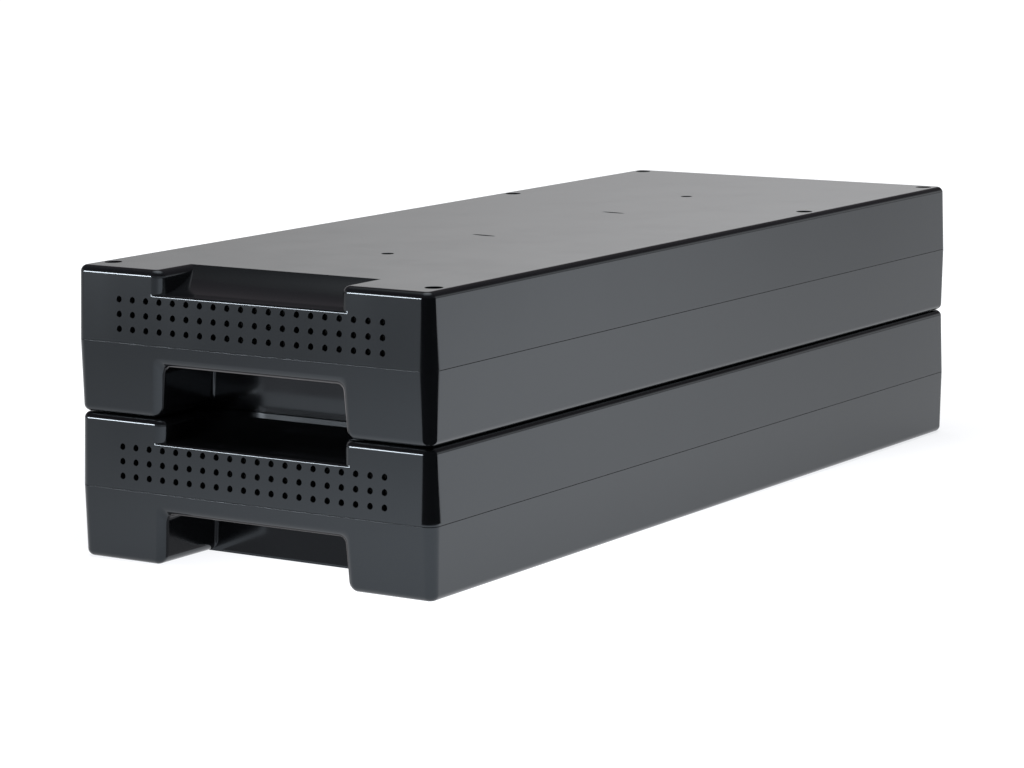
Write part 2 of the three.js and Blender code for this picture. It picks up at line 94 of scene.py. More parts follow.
# A recess's mouth: half widths at the face and inside, depth, edge and corner radii.
POCKET = {"near": 56.5 * MM, "far": 55.3 * MM, "depth": 26.3 * MM, "lip": 6 * MM, "corner": 4 * MM}
POCKET_LENGTH = 43.5 * MM
POCKET_MOUTH_RADIUS = 5 * MM
POCKET_END_RADIUS = 2 * MM
SCOOP = {"near": 54.7 * MM, "far": 54.7 * MM, "depth": 37 * MM, "lip": 6 * MM, "corner": 4 * MM}
SCOOP_MOUTH_RADIUS = 4.5 * MM
SCOOP_LIP = 63 * MM  # height of its front edge
SCOOP_LIP_RADIUS = 1.2 * MM
SCOOP_SIDE_START = 0.5 * MM  # height of a ring just over the lip
RAMP_LENGTH = 30.1 * MM
RAMP_BEND = 0.61  # how far back the ramp's control point lies, as a share of its length

VENT_COLUMNS = 20
VENT_ROWS = 3
VENT_PITCH = Vector((8.5 * MM, 7.5 * MM))
VENT_MIDDLE = 51.7 * MM
VENT_RADIUS = 1.6 * MM
VENT_REACH = 2.5 * WALL

# Screw wells, with a shallow dish round the ones along the sides, and the posts below them.
COUNTERBORE_RADIUS = 3.2 * MM
DISH_RADIUS = 4.5 * MM
DISH_DEPTH = 1 * MM
SHANK_HOLE = 1.8 * MM
BOSS_RADIUS = 4.1 * MM

# Ribs on the floor, in front of each row of battery blocks and behind it.
ROW_DEPTHS = (48 * MM, 165 * MM, 284.5 * MM, 401.5 * MM)  # front of each row
BLOCK_LENGTH = 101 * MM
RIB_NEAR = 12 * MM
RIB_FAR = 84 * MM
RIB_THICKNESS = 2 * MM
RIB_HEIGHT = 8 * MM

# Grooves where the moulding gates were trimmed from the top face.
GATES = ((2.7 * MM, 207.6 * MM), (6.7 * MM, 335.6 * MM))  # across, and behind the front face
GATE_HALF_LENGTH = 8 * MM
GATE_RADIUS = 1.6 * MM
GATE_SINK = 0.5 * MM
GATE_SLANT = math.radians(-6)
GATE_PROFILE = ((0.5, -1.0), (0.9, -0.7), (1.0, 0.2))  # as shares of its radius and sink

# ---- Screws ----
SCREW_COUNT = 8
SHANK_RADIUS = 1.5 * MM
TIP_RADIUS = 0.3 * MM
TIP_LENGTH = 1.6 * MM
THREAD_PITCH = 1.1 * MM
THREAD_DEPTH = 0.25 * MM
PLAIN_LENGTH = 3 * MM  # of the shank, without thread: the tip and the part under the head
HEAD_RADIUS = 2.9 * MM
HEAD_HEIGHT = 2.4 * MM
HEAD_SIDE = 0.4  # upright share of the head's height
CROWN_ANGLE = math.radians(75)
DRIVE_REACH = 1.8 * MM
DRIVE_WIDTH = 0.8 * MM
DRIVE_DEPTH = 1.3 * MM

# ---- Rear connector ----
SOCKET_HALF_WIDTH = 26.7 * MM
SOCKET_HALF_HEIGHT = 9.7 * MM
FLANGE_THICKNESS = 3 * MM
CAVITY_NEAR = 4 * MM
CAVITY_FAR = 23 * MM
CAVITY_HALF_HEIGHT = 7.2 * MM
CAVITY_LENGTH = 16 * MM
HOUSING_EDGE = 0.35 * MM
CONTACT_THICKNESS = 2 * MM
CONTACT_EDGE = 0.4 * MM
BARREL_RADIUS = 2.4 * MM
BARREL_START = 0.4 * MM
BARREL_LENGTH = 4 * MM

# ---- Fineness ----
CORNER_STEPS = 12
EDGE_STEPS = 10
SMALL_EDGE_STEPS = 5
SEAM_STEPS = 3
HOLE_STEPS = 28
SMALL_ROUND_STEPS = 20
NEAR_TANGENT = math.radians(82)  # cutters meet a face a little steeper than tangent
OVERRUN = 1 * MM  # how far a cutter runs past a face


# ---- Mesh helpers ----
def mesh_object(name, mesh):
    piece = bpy.data.objects.new(name, mesh)
    bpy.context.scene.collection.objects.link(piece)
    return piece


def to_object(name, bm):
    bmesh.ops.recalc_face_normals(bm, faces=bm.faces)
    mesh = bpy.data.meshes.new(name)
    bm.to_mesh(mesh)
    bm.free()
    return mesh_object(name, mesh)


def circle(radius, z, steps):
    angles = [2 * math.pi * i / steps for i in range(steps)]
    return [Vector((radius * math.cos(a), radius * math.sin(a), z)) for a in angles]


def add_strip(bm, rows, closed=False):
    """Band of faces through pairs of points, joined to its start if `closed`."""
    rows = [[bm.verts.new(point) for point in row] for row in rows]
    following = rows[1:] + rows[:1] if closed else rows[1:]
    for left, right in zip(rows, following):
        bm.faces.new((left[0], right[0], right[1], left[1]))


def add_loft(bm, rings):
    """Closed body through rings of points of equal count."""
    rows = [[bm.verts.new(point) for point in ring] for ring in rings]
    for below, above in zip(rows, rows[1:]):
        for i in range(len(below)):
            j = (i + 1) % len(below)
            bm.faces.new((below[i], below[j], above[j], above[i]))
    bm.faces.new(list(reversed(rows[0])))
    bm.faces.new(rows[-1])


def loft(name, rings):
    bm = bmesh.new()
    add_loft(bm, rings)
    return to_object(name, bm)


def add_turned(bm, profile, place=Matrix(), steps=HOLE_STEPS):
    """Round body from (radius, height) points about its own Z, closed flat at both ends."""
    rings = [circle(radius, height, steps) for radius, height in profile]
    add_loft(bm, [[place @ point for point in ring] for ring in rings])


def box(name, low, high):
    bm = bmesh.new()
    add_box(bm, low, high)
    return to_object(name, bm)


def add_box(bm, low, high):
    low, high = Vector(low), Vector(high)
    ring = [(low.x, low.y), (high.x, low.y), (high.x, high.y), (low.x, high.y)]
    add_loft(bm, [[Vector((x, y, z)) for x, y in ring] for z in (low.z, high.z)])


def apply_modifiers(piece):
    depsgraph = bpy.context.evaluated_depsgraph_get()
    mesh = bpy.data.meshes.new_from_object(piece.evaluated_get(depsgraph))
    piece.modifiers.clear()
    old = piece.data
    piece.data = mesh
    bpy.data.meshes.remove(old)


def combine(piece, operation, *tools):
    """Joins or cuts a piece with closed tools, which are used up."""
    for tool in tools:
        modifier = piece.modifiers.new("combine", "BOOLEAN")
        modifier.operation = operation
        modifier.solver = "MANIFOLD"
        modifier.object = tool
        apply_modifiers(piece)
        bpy.data.objects.remove(tool)
    return piece


def smooth(piece, angle=32):
    """Smooth shading that keeps flat faces flat and edges over `angle` degrees sharp."""
    mesh = piece.data
    mesh.shade_smooth()
    mesh.set_sharp_from_angle(angle=math.radians(angle))
    modifier = piece.modifiers.new("normals", "WEIGHTED_NORMAL")
    modifier.mode = "FACE_AREA"
    modifier.keep_sharp = True
    apply_modifiers(piece)
    return piece


def bevelled(piece, width, angle=40):
    modifier = piece.modifiers.new("edges", "BEVEL")
    modifier.width = width
    modifier.segments = 3
    modifier.limit_method = "ANGLE"
    modifier.angle_limit = math.radians(angle)
    modifier.use_clamp_overlap = False
    apply_modifiers(piece)
    return piece


# ---- Outlines ----
def quarter(steps, end=math.pi / 2):
    """Angles from 0 to `end`."""
    return [end * i / steps for i in range(steps + 1)]


def rounded_rectangle(half_x, half_y, radius):
    points = []
    for index, (sign_x, sign_y) in enumerate(((1, 1), (-1, 1), (-1, -1), (1, -1))):
        for angle in quarter(CORNER_STEPS):
            turn = angle + index * math.pi / 2
            x = sign_x * (half_x - radius) + radius * math.cos(turn)
            y = sign_y * (half_y - radius) + radius * math.sin(turn)
            points.append((x, y))
    return points


def footprint(inset, z):
    """The case's outline at height `z`, `inset` from its widest place."""
    outline = rounded_rectangle(HALF_WIDTH - inset, HALF_DEPTH - inset, CORNER_RADIUS - inset)
    return [Vector((x, y, z)) for x, y in outline]


def drafted(z):
    """How far the walls lean inwards at height `z`."""
    return abs(z - PARTING) * DRAFT


def edge_level(inwards):
    """Height of the case's rounded edge over the face beside it, `inwards` from the other face."""
    bend = math.asin(min(max(1 - inwards / EDGE_RADIUS, 0), math.sin(NEAR_TANGENT)))
    past = EDGE_RADIUS * (1 - math.sin(bend)) - min(inwards, EDGE_RADIUS)
    return EDGE_RADIUS * (1 - math.cos(bend)) + past * math.tan(bend)


def mouth(shape, grow=0.0, level=0.0):
    """Outline of a recess that opens through a face at height `level`, grown outwards by `grow`.
    Its edges round over onto that face and run on past it, nearly along it."""
    lip = max(shape["lip"] - grow, RIM)
    centre_x = shape["near"] + grow + lip
    centre_y = level + lip
    past = 2 * EDGE_RADIUS
    points = []
    for angle in reversed(quarter(EDGE_STEPS, NEAR_TANGENT)):
        points.append((centre_x - lip * math.cos(angle), centre_y - lip * math.sin(angle)))
    edge_x, edge_y = points[0]
    outer_x = edge_x + past * math.sin(NEAR_TANGENT)
    points.insert(0, (outer_x, edge_y - past * math.cos(NEAR_TANGENT)))
    points.insert(0, (outer_x, edge_y - 2 * past))
    corner = shape["corner"]
    for angle in quarter(EDGE_STEPS):
        x = shape["far"] + grow - corner * (1 - math.cos(angle))
        y = shape["depth"] + grow - corner * (1 - math.sin(angle))
        points.append((x, y))
    return points + [(-x, y) for x, y in reversed(points)]


# ---- Case halves ----
def half_outside(name, rim, face_height):
    """Outside of one half, from its rounded face at `face_height` to its rim."""
    towards = 1 if rim > face_height else -1
    rings = []
    for angle in quarter(EDGE_STEPS):
        opened, risen = EDGE_RADIUS * (1 - math.sin(angle)), EDGE_RADIUS * (1 - math.cos(angle))
        z = face_height + towards * risen
        rings.append(footprint(drafted(z) + opened, z))
    for angle in quarter(SEAM_STEPS):
        z = rim - towards * SEAM_RADIUS * (1 - math.sin(angle))
        rings.append(footprint(drafted(z) + SEAM_RADIUS * (1 - math.cos(angle)), z))
    return loft(name, rings)


def half_inside(z0, z1, thickness=WALL):
    rings = [footprint(drafted(z) + thickness, z) for z in (z0, z1)]
    return loft("inside", rings)


def pocket_place(outline, depth):
    return [Vector((x, FRONT + drafted(z) + depth, z)) for x, z in outline]


def flared(place, shape, radius, face, outwards):
    """Rings of a recess whose mouth rounds over by `radius` onto a face and just past it."""
    rings = []
    for angle in quarter(EDGE_STEPS, NEAR_TANGENT):
        grow = radius * (1 - math.cos(angle))
        inwards = radius * (1 - math.sin(angle))
        rings.append(place(mouth(shape, grow, edge_level(inwards)), face - outwards * inwards))
    inwards -= radius / math.tan(NEAR_TANGENT)
    outline = mouth(shape, grow + radius, edge_level(inwards))
    rings.append(place(outline, face - outwards * inwards))
    return rings


def pocket_space():
    """Handle pocket, open to the front and underneath, with a rounded mouth and far end."""
    rings = []
    for angle in reversed(quarter(EDGE_STEPS // 2)):
        grow = -POCKET_END_RADIUS * (1 - math.cos(angle))
        depth = POCKET_LENGTH - POCKET_END_RADIUS * (1 - math.sin(angle))
        rings.append(pocket_place(mouth(POCKET, grow), depth))
    rings += flared(pocket_place, POCKET, POCKET_MOUTH_RADIUS, 0.0, -1)
    return loft("pocket", rings)


def pocket_walls():
    outline = mouth(POCKET, SKIN)
    rings = [pocket_place(outline, depth) for depth in (POCKET_LENGTH + SKIN, -WALL)]
    return loft("pocket_walls", rings)


def ramp_curve(drop):
    """The scoop's ramp from its lip to the top face, as (depth, height) points."""
    start = Vector((drafted(SCOOP_LIP) + SCOOP_LIP_RADIUS, SCOOP_LIP - drop))
    end = Vector((RAMP_LENGTH + drafted(HEIGHT), HEIGHT - drop))
    bend = Vector((RAMP_BEND * end.x, start.y))
    points = []
    for i in range(2 * EDGE_STEPS + 1):
        t = i / (2 * EDGE_STEPS)
        points.append(start * (1 - t) ** 2 + bend * 2 * t * (1 - t) + end * t ** 2)
    return points


def above_ramp(drop, rounded_lip):
    """Everything above the ramp, lowered by `drop`, across the case."""
    points = ramp_curve(drop)
    if rounded_lip:
        centre = points[0] - Vector((0, SCOOP_LIP_RADIUS))
        lip = []
        for angle in reversed(quarter(SMALL_EDGE_STEPS, NEAR_TANGENT)[1:]):
            offset = Vector((-math.sin(angle), math.cos(angle))) * SCOOP_LIP_RADIUS
            lip.append(centre + offset)
        past = 2 * SCOOP_LIP_RADIUS
        first = lip[0] - Vector((past * math.cos(NEAR_TANGENT), past * math.sin(NEAR_TANGENT)))
        points = [first] + lip + points
    slope = (points[-1] - points[-2]).normalized()
    points.append(points[-1] + slope * 3 * EDGE_RADIUS)
    roof = points[-1].y + EDGE_RADIUS
    points += [Vector((points[-1].x, roof)), Vector((-2 * EDGE_RADIUS, roof))]
    points.append(Vector((-2 * EDGE_RADIUS, points[0].y)))
    reach = SCOOP["near"] + 3 * SCOOP["lip"]
    rings = [[Vector((x, FRONT + p.x, p.y)) for p in points] for x in (-reach, reach)]
    return loft("above_ramp", rings)


def scoop_place(outline, z):
    return [Vector((x, FRONT + drafted(z) + y, z)) for x, y in outline]


def scoop_space():
    """Finger scoop, open to the front and above, its side edges rounded over."""
    heights = (SCOOP_LIP - 2 * EDGE_RADIUS, SCOOP_LIP + SCOOP_SIDE_START)
    rings = [scoop_place(mouth(SCOOP), z) for z in heights]
    rings += flared(scoop_place, SCOOP, SCOOP_MOUTH_RADIUS, HEIGHT, 1)
    return combine(loft("scoop", rings), "INTERSECT", above_ramp(0.0, True))


def scoop_walls():
    outline = mouth(SCOOP, SKIN)
    rings = [scoop_place(outline, z) for z in (PARTING + WALL, HEIGHT)]
    return combine(loft("scoop_walls", rings), "INTERSECT", above_ramp(SKIN, False))


def vent_holes():
    bm = bmesh.new()
    profile = (
        (VENT_RADIUS, -VENT_REACH), (VENT_RADIUS, -RIM),
        (VENT_RADIUS + 2 * RIM, RIM), (VENT_RADIUS + 2 * RIM, WALL / 2),
    )
    outwards = Matrix.Rotation(math.pi / 2 - math.atan(DRAFT), 4, "X")
    for row in range(VENT_ROWS):
        z = VENT_MIDDLE + (row - (VENT_ROWS - 1) / 2) * VENT_PITCH.y
        for column in range(VENT_COLUMNS):
            x = (column - (VENT_COLUMNS - 1) / 2) * VENT_PITCH.x
            place = Matrix.Translation((x, FRONT + drafted(z), z)) @ outwards
            add_turned(bm, profile, place)
    return to_object("vents", bm)


def screw_places():
    """(x, y, whether a shallow dish surrounds its well) of each screw."""
    places = []
    for i in range(SCREW_COUNT):
        low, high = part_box(f"lower_screw_{i + 1}")
        centre = (low + high) / 2
        places.append((centre.x, centre.y, abs(centre.x) > HALF_WIDTH / 2))
    return places


SCREWS = screw_places()
SCREW_LOW, SCREW_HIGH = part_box("lower_screw_1")
WELL_FLOOR = SCREW_HIGH.z - HEAD_HEIGHT - SOLID_GAP


def posts(z0, z1, radius):
    """Round posts at the screws."""
    bm = bmesh.new()
    for x, y, _ in SCREWS:
        add_turned(bm, ((radius, z0), (radius, z1)), Matrix.Translation((x, y, 0)))
    return to_object("posts", bm)


def wells():
    """Screw wells in the top face, and the shank holes under them."""
    bm = bmesh.new()
    floor = WELL_FLOOR - HEIGHT
    for x, y, dished in SCREWS:
        top = COUNTERBORE_RADIUS
        profile = [(SHANK_HOLE, PARTING - HEIGHT - OVERRUN), (SHANK_HOLE, floor), (top, floor)]
        if dished:
            profile += [(top, -DISH_DEPTH - RIM), (top + RIM, -DISH_DEPTH)]
            top = DISH_RADIUS
            profile.append((top, -DISH_DEPTH))
        profile += [(top, -RIM), (top + 2 * RIM, RIM), (top + 2 * RIM, OVERRUN)]
        add_turned(bm, profile, Matrix.Translation((x, y, HEIGHT)))
    return to_object("wells", bm)


def gates():
    """Shallow slanted grooves where the top half's moulding gates were trimmed."""
    bm = bmesh.new()
    profile = [(share * GATE_RADIUS, height * GATE_SINK) for share, height in GATE_PROFILE]
    profile.append((GATE_RADIUS, OVERRUN))
    turn = Matrix.Rotation(GATE_SLANT, 4, "Z")
    stretch = Matrix.Diagonal((GATE_HALF_LENGTH / GATE_RADIUS, 1, 1, 1))
    for x, depth in GATES:
        place = Matrix.Translation((x, FRONT + depth, HEIGHT)) @ turn @ stretch
        add_turned(bm, profile, place)
    return to_object("gates", bm)


def socket_opening():
    half_x = SOCKET_HALF_WIDTH + SOLID_GAP
    half_z = SOCKET_HALF_HEIGHT + SOLID_GAP
    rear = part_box("lower_connector_housing")[1].y + WALL
    low_corner = (-half_x, HALF_DEPTH - 2 * WALL, PARTING - half_z)
    return box("socket_opening", low_corner, (half_x, rear, PARTING + half_z))


def floor_ribs():
    """Low walls on the floor that hold each row of battery blocks."""
    bm = bmesh.new()
    for depth in ROW_DEPTHS:
        for start in (depth - SOLID_GAP - RIB_THICKNESS, depth + BLOCK_LENGTH + SOLID_GAP):
            y = FRONT + start
            for side in (-1, 1):
                left, right = sorted((side * RIB_NEAR, side * RIB_FAR))
                high_corner = (right, y + RIB_THICKNESS, SKIN + RIB_HEIGHT)
                add_box(bm, (left, y, SKIN / 2), high_corner)
    return to_object("ribs", bm)


def bottom_case(name):
    rim = PARTING - SEAM_GAP / 2
    piece = half_outside(name, rim, 0.0)
    cavity = combine(half_inside(SKIN, rim + OVERRUN), "DIFFERENCE", pocket_walls())
    combine(piece, "DIFFERENCE", cavity, pocket_space())
    tongue = half_inside(rim - WALL, rim + TONGUE_HEIGHT, WALL - TONGUE)
    combine(tongue, "DIFFERENCE", half_inside(rim - 2 * WALL, rim + 2 * WALL))
    combine(piece, "UNION", tongue, posts(SKIN / 2, rim, BOSS_RADIUS), floor_ribs())
    shank_holes = posts(SCREW_LOW.z - OVERRUN, HEIGHT, SHANK_HOLE)
    combine(piece, "DIFFERENCE", shank_holes, socket_opening())
    return smooth(piece)


def top_case(name):
    rim = PARTING + SEAM_GAP / 2
    piece = half_outside(name, rim, HEIGHT)
    start = rim - OVERRUN
    cavity = combine(half_inside(start, HEIGHT - SKIN), "DIFFERENCE", scoop_walls())
    rebate = half_inside(start, rim + TONGUE_HEIGHT, WALL - TONGUE - SOLID_GAP)
    combine(piece, "DIFFERENCE", cavity, rebate, scoop_space())
    combine(piece, "UNION", posts(rim, HEIGHT - SKIN / 2, BOSS_RADIUS))
    combine(piece, "DIFFERENCE", wells(), gates(), vent_holes(), socket_opening())
    return smooth(piece)


# ---- Screws, connectors and contacts ----
def screw(name, low, high):
    """Thread-forming pan-head screw with a cross recess, in the box of its solid."""
    neck = high.z - low.z - HEAD_HEIGHT
    core = SHANK_RADIUS - THREAD_DEPTH
    profile = [(TIP_RADIUS, 0.0), (core, TIP_LENGTH)]
    for turn in range(int((neck - PLAIN_LENGTH) / THREAD_PITCH)):
        z = TIP_LENGTH + turn * THREAD_PITCH
        profile += [(SHANK_RADIUS, z + 0.5 * THREAD_PITCH), (core, z + THREAD_PITCH)]
    profile += [(core, neck), (HEAD_RADIUS - RIM, neck)]
    profile += [(HEAD_RADIUS, neck + RIM), (HEAD_RADIUS, neck + HEAD_SIDE * HEAD_HEIGHT)]
    for angle in quarter(SMALL_EDGE_STEPS, CROWN_ANGLE)[1:]:
        risen = HEAD_SIDE + (1 - HEAD_SIDE) * math.sin(angle) / math.sin(CROWN_ANGLE)
        profile.append((HEAD_RADIUS * math.cos(angle), neck + HEAD_HEIGHT * risen))
    centre = (low + high) / 2
    bm = bmesh.new()
    place = Matrix.Translation((centre.x, centre.y, low.z))
    add_turned(bm, profile, place, SMALL_ROUND_STEPS)
    piece = to_object(name, bm)
    half = DRIVE_WIDTH / 2
    for half_x, half_y in ((DRIVE_REACH, half), (half, DRIVE_REACH)):
        low_corner = (centre.x - half_x, centre.y - half_y, high.z - DRIVE_DEPTH)
        high_corner = (centre.x + half_x, centre.y + half_y, high.z + OVERRUN)
        combine(piece, "DIFFERENCE", box("drive", low_corner, high_corner))
    return smooth(piece)


def connector(name, low, high):
    """Connector body: a flange behind the rear wall and two cavities open to the rear."""
    middle = (low.z + high.z) / 2
    flange_rear = HALF_DEPTH - WALL - drafted(low.z) - SOLID_GAP
    body_low = (-SOCKET_HALF_WIDTH, low.y, middle - SOCKET_HALF_HEIGHT)
    body = box(name, body_low, (SOCKET_HALF_WIDTH, high.y, middle + SOCKET_HALF_HEIGHT))
    flange_low = (low.x, flange_rear - FLANGE_THICKNESS, low.z)
    combine(body, "UNION", box("flange", flange_low, (high.x, flange_rear, high.z)))
    for side in (-1, 1):
        left, right = sorted((side * CAVITY_NEAR, side * CAVITY_FAR))
        cavity_low = (left, high.y - CAVITY_LENGTH, middle - CAVITY_HALF_HEIGHT)
        cavity_high = (right, high.y + OVERRUN, middle + CAVITY_HALF_HEIGHT)
        pole = "negative" if side < 0 else "positive"
        blade_low, blade_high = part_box(f"lower_contact_{pole}")
        slot_low = (blade_low.x - SOLID_GAP, low.y - OVERRUN, middle - CAVITY_HALF_HEIGHT)
        slot_high = (blade_high.x + SOLID_GAP, high.y, blade_low.z + 1.5 * CONTACT_THICKNESS)
        cavity = box("cavity", cavity_low, cavity_high)
        combine(body, "DIFFERENCE", cavity, box("slot", slot_low, slot_high))
    return smooth(bevelled(body, HOUSING_EDGE))


def contact(name, low, high):
    """Flat blade with a crimp barrel on its tail."""
    middle_x = (low.x + high.x) / 2
    middle_z = (low.z + high.z) / 2
    floor = middle_z - CONTACT_THICKNESS / 2
    blade_low = (low.x, low.y, floor)
    blade = box(name, blade_low, (high.x, high.y, floor + CONTACT_THICKNESS))
    bevelled(blade, CONTACT_EDGE)
    bm = bmesh.new()
    place = Matrix.Translation((middle_x, low.y + BARREL_START, middle_z))
    along = place @ Matrix.Rotation(-math.pi / 2, 4, "X")
    profile = ((BARREL_RADIUS - RIM, 0), (BARREL_RADIUS, RIM),
               (BARREL_RADIUS, BARREL_LENGTH - RIM), (BARREL_RADIUS - RIM, BARREL_LENGTH))
    add_turned(bm, profile, along, SMALL_ROUND_STEPS)
    combine(blade, "UNION", to_object("barrel", bm))
    return smooth(blade)


# ---- Materials ----
NOISE_RANGE = (0.3, 0.7)  # most of what a noise texture gives
TONE_STOPS = (0.35, 0.65)


def node_material(name):
    """A material with its node tree, its shader and its object coordinates."""
    material = bpy.data.materials.new(name)
    material.use_nodes = True
    tree = material.node_tree
    place = tree.nodes.new("ShaderNodeTexCoord").outputs["Object"]
    return material, tree, tree.nodes["Principled BSDF"], place


def noise(tree, place, scale, detail, stretch=(1, 1, 1)):
    mapping = tree.nodes.new("ShaderNodeMapping")
    mapping.inputs["Scale"].default_value = stretch
    texture = tree.nodes.new("ShaderNodeTexNoise")
    texture.inputs["Scale"].default_value = scale
    texture.inputs["Detail"].default_value = detail
    tree.links.new(place, mapping.inputs["Vector"])
    tree.links.new(mapping.outputs["Vector"], texture.inputs["Vector"])
    return texture.outputs["Fac"]


def map_range(tree, value, source, target, interpolation="LINEAR"):
    node = tree.nodes.new("ShaderNodeMapRange")
    node.interpolation_type = interpolation
    node.inputs["From Min"].default_value, node.inputs["From Max"].default_value = source
    node.inputs["To Min"].default_value, node.inputs["To Max"].default_value = target
    tree.links.new(value, node.inputs["Value"])
    return node.outputs["Result"]


def two_tone(tree, value, colours):
    ramp = tree.nodes.new("ShaderNodeValToRGB")
    for element, stop, colour in zip(ramp.color_ramp.elements, TONE_STOPS, colours):
        element.position = stop
        element.color = (*colour, 1)
    tree.links.new(value, ramp.inputs["Fac"])
    return ramp.outputs["Color"]


def bump(tree, height, strength, distance, below=None):
    node = tree.nodes.new("ShaderNodeBump")
    node.inputs["Strength"].default_value = strength
    node.inputs["Distance"].default_value = distance
    tree.links.new(height, node.inputs["Height"])
    if below is not None:
        tree.links.new(below, node.inputs["Normal"])
    return node.outputs["Normal"]


def moulded_plastic(name, dark, light, roughness, grain, tint=(1, 1, 1, 1)):
    """Moulded plastic: fine tool grain, slow wall waviness and faint flow streaks."""
    material, tree, shader, place = node_material(name)
    mottle = noise(tree, place, scale=9.0, detail=3.0)
    streaks = noise(tree, place, scale=30.0, detail=2.0, stretch=(1, 1, 0.12))
    fine = noise(tree, place, scale=2600.0, detail=1.0)
    slow = noise(tree, place, scale=16.0, detail=1.0)
    tree.links.new(two_tone(tree, mottle, (dark, light)), shader.inputs["Base Color"])
    rough = map_range(tree, streaks, NOISE_RANGE, (0.9 * roughness, 1.12 * roughness))
    tree.links.new(rough, shader.inputs["Roughness"])
    shader.inputs["Specular Tint"].default_value = tint
    waviness = bump(tree, slow, strength=0.25, distance=0.4 * MM)
    grained = bump(tree, fine, strength=grain, distance=0.02 * MM, below=waviness)
    tree.links.new(grained, shader.inputs["Normal"])
    return material


def plated_metal(name, dark, light, roughness):
    """Plated metal with fine random scratches and slight tarnish."""
    material, tree, shader, place = node_material(name)
    shader.inputs["Metallic"].default_value = 1.0
    tarnish = noise(tree, place, scale=300.0, detail=3.0)
    scratches = noise(tree, place, scale=900.0, detail=2.0, stretch=(1, 12, 1))
    tree.links.new(two_tone(tree, tarnish, (dark, light)), shader.inputs["Base Color"])
    rough = map_range(tree, scratches, NOISE_RANGE, (roughness - 0.08, roughness + 0.1))
    tree.links.new(rough, shader.inputs["Roughness"])
    scratched = bump(tree, scratches, strength=0.2, distance=0.05 * MM)
    tree.links.new(scratched, shader.inputs["Normal"])
    return material


PLASTICS = {
    "case_plastic": {
        "dark": (0.0020, 0.0022, 0.0026), "light": (0.0027, 0.0030, 0.0035),
        "roughness": 0.13, "grain": 0.12, "tint": (0.80, 0.90, 1.0, 1)},
    "block_plastic": {
        "dark": (0.06, 0.064, 0.068), "light": (0.075, 0.08, 0.085),
        "roughness": 0.5, "grain": 0.3},
    "connector_plastic": {
        "dark": (0.008, 0.008, 0.009), "light": (0.014, 0.014, 0.015),
        "roughness": 0.42, "grain": 0.35},
    "black_sleeve": {
        "dark": (0.009, 0.009, 0.01), "light": (0.014, 0.014, 0.015),
        "roughness": 0.55, "grain": 0.3},
    "red_sleeve": {
        "dark": (0.3, 0.011, 0.009), "light": (0.36, 0.015, 0.012),
        "roughness": 0.5, "grain": 0.3},
    "fuse_ceramic": {
        "dark": (0.6, 0.56, 0.48), "light": (0.7, 0.66, 0.57),
        "roughness": 0.6, "grain": 0.4},
}
METALS = {
    "screw_steel": {
        "dark": (0.3, 0.31, 0.33), "light": (0.42, 0.43, 0.45), "roughness": 0.32},
    "contact_metal": {
        "dark": (0.55, 0.46, 0.28), "light": (0.7, 0.6, 0.4), "roughness": 0.28},
}
MATERIALS = {name: moulded_plastic(name, **look) for name, look in PLASTICS.items()}
MATERIALS.update({name: plated_metal(name, **look) for name, look in METALS.items()})


def cover(piece, slot):
    piece.data.materials.clear()
    piece.data.materials.append(MATERIALS[slot])


# ---- Assembly ----
def place_piece(piece, node, prefix, slot):
    cover(piece, slot)
    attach(piece, f"{prefix}_cartridge")
    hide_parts(node)


def lifted(piece, name, height):
    """Copy of a finished lower piece for the upper cartridge."""
    copy = mesh_object(name, piece.data.copy())
    copy.data.transform(Matrix.Translation((0, 0, height)))
    return copy


def make_pieces():
    """Makes the lower cartridge's fine pieces and copies them to the upper one.
    Returns the names of the solids that they replace."""
    makers = [  # suffix of the name, mesh maker, material slot
        ("bottom_shell", lambda name, low, high: bottom_case(name), "case_plastic"),
        ("top_shell", lambda name, low, high: top_case(name), "case_plastic"),
        ("connector_housing", connector, "connector_plastic"),
        ("contact_negative", contact, "contact_metal"),
        ("contact_positive", contact, "contact_metal"),
    ]
    makers += [(f"screw_{i + 1}", screw, "screw_steel") for i in range(SCREW_COUNT)]
    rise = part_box("upper_bottom_shell")[0].z - bottom_low.z
    for suffix, maker, slot in makers:
        low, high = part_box(f"lower_{suffix}")
        lower = maker(f"lower_fine_{suffix}", low, high)
        upper = lifted(lower, f"upper_fine_{suffix}", rise)
        place_piece(lower, f"lower_{suffix}", "lower", slot)
        place_piece(upper, f"upper_{suffix}", "upper", slot)
    return {f"{prefix}_{suffix}" for prefix in CARTRIDGES for suffix, _, _ in makers}


replaced = make_pieces()
for part in frame["record"]["subparts"]:
    if part["node"] not in replaced:
        cover(frame["nodes"][part["node"]], part["material_slot"])


# ---- Studio ----
STUDIO_REACH = 12.0
STUDIO_STEPS = 96
FLOOR_DROP = 0.2 * MM
FLOOR_GREY = 0.1
FLOOR_GLOW_COLOUR = (0.985, 0.995, 1.02, 1)
HORIZON_TOP = 4.5
HORIZON_PEAK = 1.96  # height at which the horizon is brightest
HORIZON_COLOUR = (0.99, 0.99, 1.0)
OVERHEAD = {"place": (0, 0, 2.0), "aim": (0, 0, 0), "size": (1.8, 1.8), "radiance": 13}
FRONT_STRIP = {
    "place": (-2.46, -3.15, 0.5), "aim": (0, 0, 0.5), "size": (1.3, 0.46), "radiance": 42}
CEILING_HEIGHT = 2.0
CEILING_REACH = 1.6
CEILING_STEPS = 48
CARD_BLACK = (0.01, 0.01, 0.012)
CARD_GREY = (1.0, 0.97, 0.99)
CARD_CLEARANCE = 1 * MM  # from the pocket's walls
CARD_FOOT = 0.5 * MM  # above the underside
UPPER_CARD_GLOW = 0.6
LOWER_CARD_GLOW = 0.36
